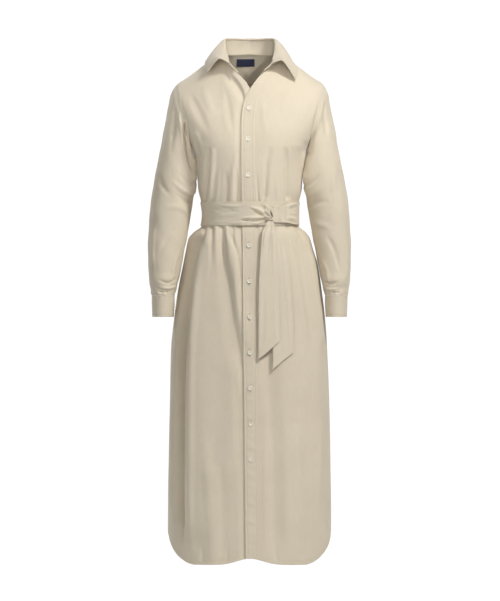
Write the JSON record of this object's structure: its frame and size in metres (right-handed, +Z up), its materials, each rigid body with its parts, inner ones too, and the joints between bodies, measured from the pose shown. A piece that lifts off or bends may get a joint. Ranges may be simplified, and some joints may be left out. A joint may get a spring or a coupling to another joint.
{
  "type": "shirt dress",
  "caption": "Long belted shirt dress, hollow as worn: button front, shirt collar folded open, long sleeves with cuffs, sash tied at the waist, shirt-tail hem with side slits.",
  "frame": {"origin": "the point between the two shoulders, level with them, where the wearer holds the dress up", "axes": "+Z up, +Y from the front to the back, +X towards the wearer's left"},
  "size_m": [0.507, 0.2969, 1.3137],
  "materials": {
    "cotton_twill": "cream cotton twill, matt",
    "sash_twill": "cream cotton twill, doubled, matt",
    "woven_label": "navy woven label, no text",
    "shell_button": "pearly shell button, satin"
  },
  "bodies": {
    "root": {"front_right": "cotton_twill", "front_left": "cotton_twill", "placket": "cotton_twill", "back": "cotton_twill", "yoke": "cotton_twill", "sleeve_right": "cotton_twill", "sleeve_left": "cotton_twill", "cuff_right": "cotton_twill", "cuff_left": "cotton_twill", "collar_stand": "cotton_twill", "collar_fall": "cotton_twill", "belt_band": "sash_twill", "belt_knot": "sash_twill", "belt_loop": "sash_twill", "belt_tail_front": "sash_twill", "belt_tail_back": "sash_twill", "neck_label": "woven_label", "button_01": "shell_button", "button_02": "shell_button", "button_03": "shell_button", "button_04": "shell_button", "button_05": "shell_button", "button_06": "shell_button", "button_07": "shell_button", "button_08": "shell_button", "button_09": "shell_button", "button_10": "shell_button", "button_11": "shell_button", "cuff_button_right": "shell_button", "cuff_button_left": "shell_button"}
  },
  "joints": []
}
